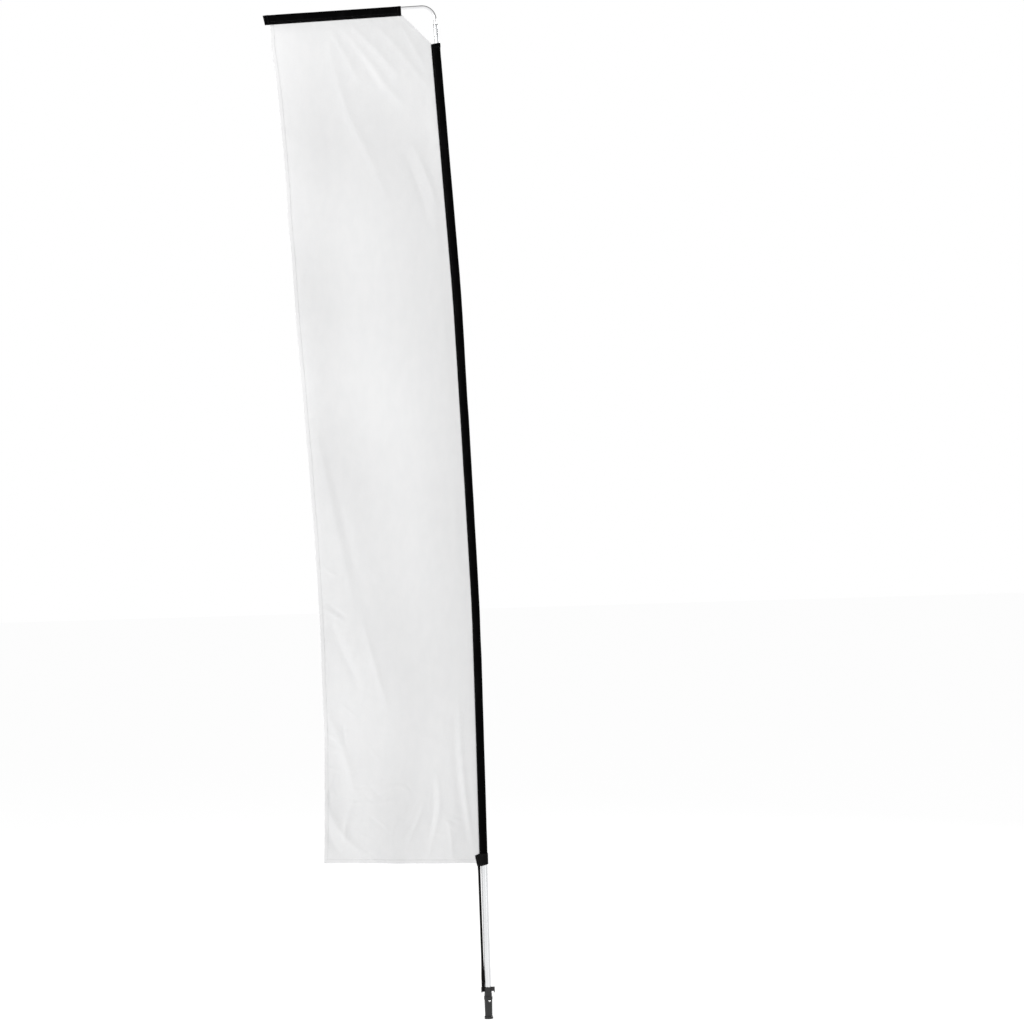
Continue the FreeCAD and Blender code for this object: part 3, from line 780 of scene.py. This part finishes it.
# ---- the button's spring, which gives as the button goes in ----
def make_spring():
    """The CAD spring's own shape as a piece, with the push direction, the middle of its end furthest along it, and
    the share of its depth left at the button's full travel.
    """
    source = frame["nodes"]["button_spring"].data
    verts = points_of("button_spring")
    faces = [tuple(face.vertices) for face in source.polygons]
    piece = make_mesh("button_spring_strip", verts, faces, False)
    push = np.array(joints["button_press"]["axis"], float)
    along = verts @ push
    deep = along.max() - along.min()
    travel = joints["button_press"]["range_m"][1]
    anchor = centre(verts[along > along.max() - 1 * MM])
    return piece, push, anchor, 1 - travel / deep


# ---- materials ----
class Nodes:
    """Short names for building one material's nodes."""

    def __init__(self, name):
        self.material = bpy.data.materials.new(name)
        self.material.use_nodes = True
        self.tree = self.material.node_tree
        self.shader = self.tree.nodes["Principled BSDF"]

    def add(self, kind, settings=None, **inputs):
        made = self.tree.nodes.new(kind)
        for key, value in (settings or {}).items():
            setattr(made, key, value)
        for key, value in inputs.items():
            self.put(made, key.replace("_", " "), value)
        return made

    def put(self, made, socket, value):
        target = made.inputs[int(socket)] if socket.isdigit() else made.inputs[socket]
        if isinstance(value, bpy.types.NodeSocket):
            self.tree.links.new(value, target)
        else:
            target.default_value = value

    def set(self, **values):
        for key, value in values.items():
            self.put(self.shader, key.replace("_", " "), value)
        return self

    def math(self, operation, a, b=0.0, c=0.0):
        made = self.add("ShaderNodeMath", {"operation": operation})
        for i, value in enumerate((a, b, c)):
            self.put(made, str(i), value)
        return made.outputs[0]

    def coords(self, scale, uv=False):
        if uv:
            out = self.add("ShaderNodeUVMap", {"uv_map": "cloth_metres"}).outputs[0]
        else:
            out = self.add("ShaderNodeTexCoord").outputs["Object"]
        made = self.add("ShaderNodeMapping", None, Scale=scale)
        self.tree.links.new(out, made.inputs["Vector"])
        return made.outputs[0]

    def noise(self, scale, detail=4.0, rough=0.55, uv=False):
        made = self.add("ShaderNodeTexNoise", None, Vector=self.coords(scale, uv), Scale=1.0, Detail=detail,
                        Roughness=rough)
        return made.outputs["Fac"]

    def ramp(self, value, low, high, out_low, out_high):
        made = self.add("ShaderNodeMapRange", {"interpolation_type": "SMOOTHSTEP"})
        for i, v in enumerate((value, low, high, out_low, out_high)):
            self.put(made, str(i), v)
        return made.outputs[0]

    def mix(self, share, a, b):
        made = self.add("ShaderNodeMix", {"data_type": "RGBA"})
        self.put(made, "0", share)
        for socket, colour in (("6", a), ("7", b)):
            self.put(made, socket, (*colour, 1.0))
        return made.outputs[2]

    def bump(self, height, distance, strength=1.0, under=None):
        made = self.add("ShaderNodeBump", None, Height=height, Distance=distance, Strength=strength)
        if under is not None:
            self.tree.links.new(under, made.inputs["Normal"])
        return made.outputs[0]

    def threads(self, pitch_across, pitch_along, uv, axes=("X", "Z")):
        """A plain weave's height: two crossed sets of threads that pass over and under each other."""
        split = self.add("ShaderNodeSeparateXYZ", None, Vector=self.coords((1, 1, 1), uv))
        a, b = split.outputs[axes[0]], split.outputs[axes[1]]
        warp = self.math("SINE", self.math("MULTIPLY", a, 2 * math.pi / pitch_across))
        weft = self.math("SINE", self.math("MULTIPLY", b, 2 * math.pi / pitch_along))
        over = self.math("MULTIPLY", warp, weft)
        ridge = self.math("MAXIMUM", self.math("ABSOLUTE", warp), self.math("ABSOLUTE", weft))
        return self.math("ADD", self.math("MULTIPLY", over, 0.5), self.math("MULTIPLY", ridge, 0.5))


def cloth_material():
    """White knitted polyester: fine loops, faint mottling, slightly glossy yarn."""
    m = Nodes("white_polyester")
    m.set(Roughness=0.8, Sheen_Weight=0.06, Sheen_Roughness=0.5, Specular_IOR_Level=0.12)
    knit = m.threads(0.9 * MM, 1.2 * MM, False)
    mottle = m.noise((30, 30, 14), 5)
    yarn = m.noise((900, 900, 260), 3)
    both = m.math("ADD", m.math("MULTIPLY", mottle, 0.7), m.math("MULTIPLY", yarn, 0.3))
    shade = m.ramp(both, 0.3, 0.7, 0, 1)
    m.set(Base_Color=m.mix(shade, (0.795, 0.797, 0.80), (0.82, 0.82, 0.822)))
    m.set(Normal=m.bump(knit, 0.14 * MM, 0.55, m.bump(m.noise((70, 70, 45), 5), 0.5 * MM, 0.2)))
    return m.material


def black_cloth_material():
    """Black woven polyester of the pockets, with a trace of lint and dust."""
    m = Nodes("black_pocket_cloth")
    m.set(Roughness=0.78, Sheen_Weight=0.004, Sheen_Roughness=0.5, Specular_IOR_Level=0.02)
    weave = m.threads(0.8 * MM, 0.8 * MM, True, ("X", "Y"))
    dust = m.ramp(m.noise((40, 40, 12), 6), 0.45, 0.75, 0, 1)
    m.set(Base_Color=m.mix(dust, (0.0010, 0.0010, 0.0011), (0.0028, 0.0028, 0.0030)))
    m.set(Normal=m.bump(weave, 0.2 * MM, 0.9, m.bump(m.noise((120, 120, 40), 4), 0.6 * MM, 0.5)))
    return m.material


def webbing_material():
    """Heavy black webbing: ribs across, a fine weave along."""
    m = Nodes("black_webbing")
    m.set(Roughness=0.75, Sheen_Weight=0.012, Specular_IOR_Level=0.08)
    weave = m.threads(1.6 * MM, 1.1 * MM, False)
    wear = m.ramp(m.noise((90, 90, 90), 5), 0.5, 0.8, 0, 1)
    m.set(Base_Color=m.mix(wear, (0.0026, 0.0026, 0.0028), (0.0075, 0.0075, 0.0075)))
    m.set(Normal=m.bump(weave, 0.25 * MM, 0.8))
    return m.material


def elastic_material():
    """Flat elastic: rubber cores show as ribs along the strap, with fine cross threads; its colour is darker in the
    grooves between the ribs and lighter on their tops, painted shade.
    """
    m = Nodes("black_elastic")
    m.set(Roughness=0.75, Sheen_Weight=0.01, Specular_IOR_Level=0.08)
    split = m.add("ShaderNodeSeparateXYZ", None, Vector=m.coords((1, 1, 1), True))
    ribs = m.math("ABSOLUTE", m.math("SINE", m.math("MULTIPLY", split.outputs["X"], math.pi / (1.15 * MM))))
    cross = m.math("SINE", m.math("MULTIPLY", split.outputs["Y"], 2 * math.pi / (0.9 * MM)))
    height = m.math("ADD", ribs, m.math("MULTIPLY", cross, 0.25))
    # painted shade: the base colour follows the ribs' height, darker in the grooves and lighter on the rib tops
    m.set(Base_Color=m.mix(ribs, (0.0018, 0.0018, 0.002), (0.0055, 0.0055, 0.006)))
    m.set(Normal=m.bump(height, 0.3 * MM, 0.9))
    return m.material


def thread_material(name, colour):
    m = Nodes(name)
    m.set(Roughness=0.55, Sheen_Weight=0.1, Specular_IOR_Level=0.35)
    twist = m.noise((2500, 2500, 2500), 2)
    m.set(Base_Color=m.mix(twist, tuple(c * 0.8 for c in colour), colour))
    m.set(Normal=m.bump(twist, 0.05 * MM, 0.5))
    return m.material


def metal_material(name, colour, rough_low, rough_high, grain=(260, 260, 3)):
    """Drawn metal: streaks along its length, small scuffs, a film of dust."""
    m = Nodes(name)
    m.set(Metallic=1.0)
    streaks = m.noise(grain, 5, 0.6)
    scuffs = m.ramp(m.noise((70, 70, 30), 6, 0.7), 0.56, 0.72, 0, 1)
    film = m.noise((9, 9, 3), 3)
    rough = m.math("ADD", m.ramp(streaks, 0.3, 0.7, rough_low, rough_high), m.math("MULTIPLY", scuffs, 0.12))
    dull = tuple(c * 0.86 for c in colour)
    m.set(Base_Color=m.mix(m.ramp(film, 0.35, 0.7, 0, 0.7), colour, dull), Roughness=rough)
    m.set(Normal=m.bump(streaks, 0.02 * MM, 0.08))
    return m.material


def plastic_material(name, colour, roughness):
    """Moulded plastic: spark-eroded grain and lighter, rougher scuffs."""
    m = Nodes(name)
    m.set(Specular_IOR_Level=0.5)
    grain = m.noise((1000, 1000, 1000), 3, 0.6)
    scuff = m.ramp(m.noise((180, 180, 60), 6, 0.7), 0.55, 0.75, 0, 1)
    light = tuple(c * 1.6 + 0.006 for c in colour)
    m.set(Base_Color=m.mix(m.math("MULTIPLY", scuff, 0.55), colour, light))
    m.set(Roughness=m.ramp(scuff, 0, 1, roughness, roughness + 0.15))
    m.set(Normal=m.bump(grain, 0.14 * MM, 0.7, m.bump(m.noise((90, 90, 90), 3), 0.3 * MM, 0.15)))
    return m.material


def paint(piece, material):
    piece.data.materials.clear()
    piece.data.materials.append(material)


def dress(material, slot_name, *pieces):
    for piece in pieces:
        paint(piece, material)


def paint_nodes(names, material):
    for name in names:
        piece = frame["nodes"][name]
        for slot_index in range(max(1, len(piece.material_slots))):
            if not piece.material_slots:
                piece.data.materials.append(material)
            piece.material_slots[slot_index].material = material


# ---- build ----
grid, cut_rows = build_cloth_grid()
normals = cloth_normals(grid)
row_step = (grid[0, 0, 2] - grid[-1, 0, 2]) / (CLOTH_ROWS - 1)
row_width = np.linalg.norm(grid[:, -1] - grid[:, 0], axis=1)


def side_place(share, inward):
    row = share * (CLOTH_ROWS - 1)
    step = np.interp(row, np.arange(CLOTH_ROWS), row_width) / (CLOTH_COLUMNS - 1)
    return row, inward / step


def foot_place(share, inward):
    return (CLOTH_ROWS - 1) - inward / row_step, share * (CLOTH_COLUMNS - 1)


CUT_SLANT = 1.42                # the cut corner's depth along a row or column, against square to it


def cut_place(share, inward):
    """Its upper end is cut along the arm's pocket and its lower end along the pole's."""
    row = share * cut_rows + CUT_SLANT * inward * share / row_step
    step = np.interp(row, np.arange(CLOTH_ROWS), row_width) / (CLOTH_COLUMNS - 1)
    return row, (CLOTH_COLUMNS - 1) - CUT_SLANT * inward * (1 - share) / step


def cloth_run(where, inward, front, lift, count=900):
    share = np.linspace(0.002, 0.998, count)
    row, column = where(share, np.full(count, inward))
    side = 1 if front else -1
    normal = unit(sample(normals, row, column)) * side
    return sample(grid, row, column) + normal * lift, normal, STITCH_PITCH


cloth = make_cloth(grid, normals)
side_hem = make_hem("side_hem", side_place, 3.35)
foot_hem = make_hem("foot_hem", foot_place, 0.62)
cut_hem = make_hem("cut_corner_hem", cut_place, 0.15)
hem_lift = HEM_T + CLOTH_T / 2
hem_runs = []
for front in (True, False):
    hem_runs.append(cloth_run(side_place, HEM * 0.82, front, hem_lift))
    hem_runs.append(cloth_run(foot_place, HEM * 0.82, front, hem_lift, 300))
    hem_runs.append(cloth_run(cut_place, HEM * 0.82, front, hem_lift, 120))
hem_stitches = stitches("hem_stitches", hem_runs)

pole_pocket, pole_skin = make_pole_pocket()
arm_pocket, arm_skin = make_arm_pocket()
pocket_end, end_skin = make_pocket_end(arm_skin)
tab = make_tab()
(strap_lower, strap_upper), strap_half_z, strap_join_z = make_strap()
strap_loop = make_strap_loop(strap_join_z)
spring, spring_axis, spring_anchor, spring_keep = make_spring()


def skin_run(skin, column, out):
    points = skin[:, column]
    return points, np.tile(out, (len(points), 1)), STITCH_PITCH


seam_lines = ((2, FRONT), (-2, -FRONT), (4, FRONT), (-4, -FRONT))
seam_runs = [skin_run(skin, column, out) for skin in (pole_skin, arm_skin) for column, out in seam_lines]
pole_mouth = make_mouth_hem("pole_pocket_hem", pole_skin[::-1], slice(0, 5))
arm_mouth = make_mouth_hem("arm_pocket_hem", arm_skin, slice(0, 4))
seam_runs += [ring_run(pole_skin, len(pole_skin) - 5, 0.3 * MM), ring_run(arm_skin, 3, 0.45 * MM)]
seam_runs += [ring_run(end_skin, 1), ring_run(end_skin, 2)]
seam_stitches = stitches("seam_stitches", seam_runs)
tab_stitches = stitches("tab_stitches", tab_runs())

# ---- materials on every piece ----
white, black = cloth_material(), black_cloth_material()
webbing, elastic = webbing_material(), elastic_material()
white_thread = thread_material("white_thread", (0.82, 0.82, 0.82))
black_thread = thread_material("black_thread", (0.009, 0.009, 0.0095))
dress(white, "cloth_white", cloth, side_hem, foot_hem, cut_hem)
dress(black, "pocket_black", pole_pocket, arm_pocket, pocket_end, pole_mouth, arm_mouth)
dress(webbing, "webbing_black", tab)
dress(elastic, "strap_elastic", strap_lower, strap_upper, strap_loop)
dress(white_thread, "cloth_white", hem_stitches)
dress(black_thread, "pocket_black", seam_stitches)
dress(black_thread, "webbing_black", tab_stitches)
paint_nodes(["lower_tube", "middle_tube", "upper_tube"],
            metal_material("drawn_aluminium", (0.76, 0.77, 0.78), 0.22, 0.34))
paint_nodes(["arm_rod"], metal_material("polished_arm", (0.82, 0.82, 0.83), 0.14, 0.24, (300, 300, 300)))
paint_nodes(["snap_button"], metal_material("bright_steel", (0.74, 0.74, 0.73), 0.12, 0.2, (400, 400, 400)))
dull_steel = metal_material("dull_steel", (0.45, 0.45, 0.45), 0.35, 0.5, (300, 300, 300))
paint_nodes(["middle_lock_cam", "upper_lock_cam"], dull_steel)
dress(dull_steel, "spring_steel", spring)
paint_nodes(["base_adapter", "hook_ring"],
            plastic_material("dark_grey_plastic", (0.0075, 0.0077, 0.0084), 0.38))
paint_nodes(["middle_lock_plug", "upper_lock_plug", "arm_bush"],
            plastic_material("black_plastic", (0.012, 0.012, 0.013), 0.4))
paint_nodes(["middle_lock_expander", "upper_lock_expander"],
            plastic_material("natural_nylon", (0.62, 0.60, 0.55), 0.5))
paint_nodes(["arm_tip_cap"], plastic_material("black_rubber", (0.012, 0.012, 0.012), 0.7))

# ---- bodies, and the CAD pieces that the soft pieces replace, hidden ----
for piece in (cloth, side_hem, foot_hem, cut_hem, hem_stitches, seam_stitches, pole_pocket, arm_pocket,
              pocket_end, pole_mouth, arm_mouth, tab, tab_stitches):
    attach(piece, "upper")
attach(strap_loop, "lower")
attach(spring, "lower")
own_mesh(spring)
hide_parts("button_spring")
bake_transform(strap_lower)
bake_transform(strap_upper)
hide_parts("flag_panel")
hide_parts("pole_sleeve")
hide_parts("top_sleeve")
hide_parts("tip_patch")
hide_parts("sleeve_tab")
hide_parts("tension_strap")


# ---- stage ----
def make_floor():
    far = 60
    corners = [(-far, -far, 0), (far, -far, 0), (far, far, 0), (-far, far, 0)]
    floor = make_mesh("floor", corners, [(0, 1, 2, 3)], False)
    m = Nodes("pale_floor")
    m.set(Base_Color=(0.3, 0.3, 0.3, 1), Roughness=0.9, Specular_IOR_Level=0.0)
    m.set(Emission_Color=(1, 1, 1, 1), Emission_Strength=0.92)
    paint(floor, m.material)


def make_world():
    """White to the camera. Things are lit evenly, and bright things mirror a room that is white in front
    and behind and darker above and at the sides."""
    world = bpy.data.worlds.new("studio")
    bpy.context.scene.world = world
    world.use_nodes = True
    tree = world.node_tree
    tree.nodes.clear()

    def add(kind, **inputs):
        made = tree.nodes.new(kind)
        for key, value in inputs.items():
            made.inputs[key].default_value = value
        return made

    def link(source, target):
        tree.links.new(source, target)

    white = (1, 1, 1, 1)
    seen = add("ShaderNodeBackground", Color=white, Strength=1.0)
    even = add("ShaderNodeBackground", Color=white, Strength=WORLD_LIGHT)
    mirrored = add("ShaderNodeBackground", Color=white)
    path, where = add("ShaderNodeLightPath"), add("ShaderNodeTexCoord")
    split, depth = add("ShaderNodeSeparateXYZ"), add("ShaderNodeMath")
    depth.operation = "ABSOLUTE"
    band = add("ShaderNodeMapRange")
    band.interpolation_type = "SMOOTHSTEP"
    for i, value in enumerate((0.0, 0.42, 0.72, 0.10, 0.92)):
        band.inputs[i].default_value = value
    glossy, camera = add("ShaderNodeMixShader"), add("ShaderNodeMixShader")
    out = add("ShaderNodeOutputWorld")
    link(where.outputs["Generated"], split.inputs[0])
    link(split.outputs["Y"], depth.inputs[0])
    link(depth.outputs[0], band.inputs[0])
    link(band.outputs[0], mirrored.inputs["Strength"])
    link(path.outputs["Is Glossy Ray"], glossy.inputs[0])
    link(even.outputs[0], glossy.inputs[1])
    link(mirrored.outputs[0], glossy.inputs[2])
    link(path.outputs["Is Camera Ray"], camera.inputs[0])
    link(glossy.outputs[0], camera.inputs[1])
    link(seen.outputs[0], camera.inputs[2])
    link(camera.outputs[0], out.inputs["Surface"])


def make_light(name, place, target, size, power):
    light = bpy.data.lights.new(name, "AREA")
    light.shape = "RECTANGLE"
    light.size, light.size_y = size
    light.energy = power
    lamp = bpy.data.objects.new(name, light)
    bpy.context.scene.collection.objects.link(lamp)
    lamp.location = place
    lamp.rotation_euler = (Vector(target) - Vector(place)).to_track_quat("-Z", "Y").to_euler()


def make_camera():
    """A long lens square to the flag, rolled as the picture is, with the flag left of the middle."""
    height = 4.044
    distance = 14.0
    middle = Vector((0.1505, 0, 1.9973))
    data = bpy.data.cameras.new("camera")
    data.lens = data.sensor_width / 2 / (height / 2 / distance)
    data.clip_end = 200
    camera = bpy.data.objects.new("camera", data)
    bpy.context.scene.collection.objects.link(camera)
    camera.location = middle + Vector((0, -distance, 0))
    camera.rotation_mode = "XYZ"
    camera.rotation_euler = (math.pi / 2, PHOTO_ROLL, 0)
    bpy.context.scene.camera = camera


make_floor()
make_world()
make_light("key", (-5.5, -3.4, 4.0), (-0.3, 0, 1.9), (1.6, 2.4), 280)
make_light("fill", (5.0, -6.5, 1.6), (-0.3, 0, 1.2), (3.0, 3.0), 51)
make_light("back", (4.6, 3.8, 4.0), (-0.3, 0, 1.9), (1.8, 2.4), 280)
make_camera()
bpy.context.scene.view_settings.view_transform = "Standard"
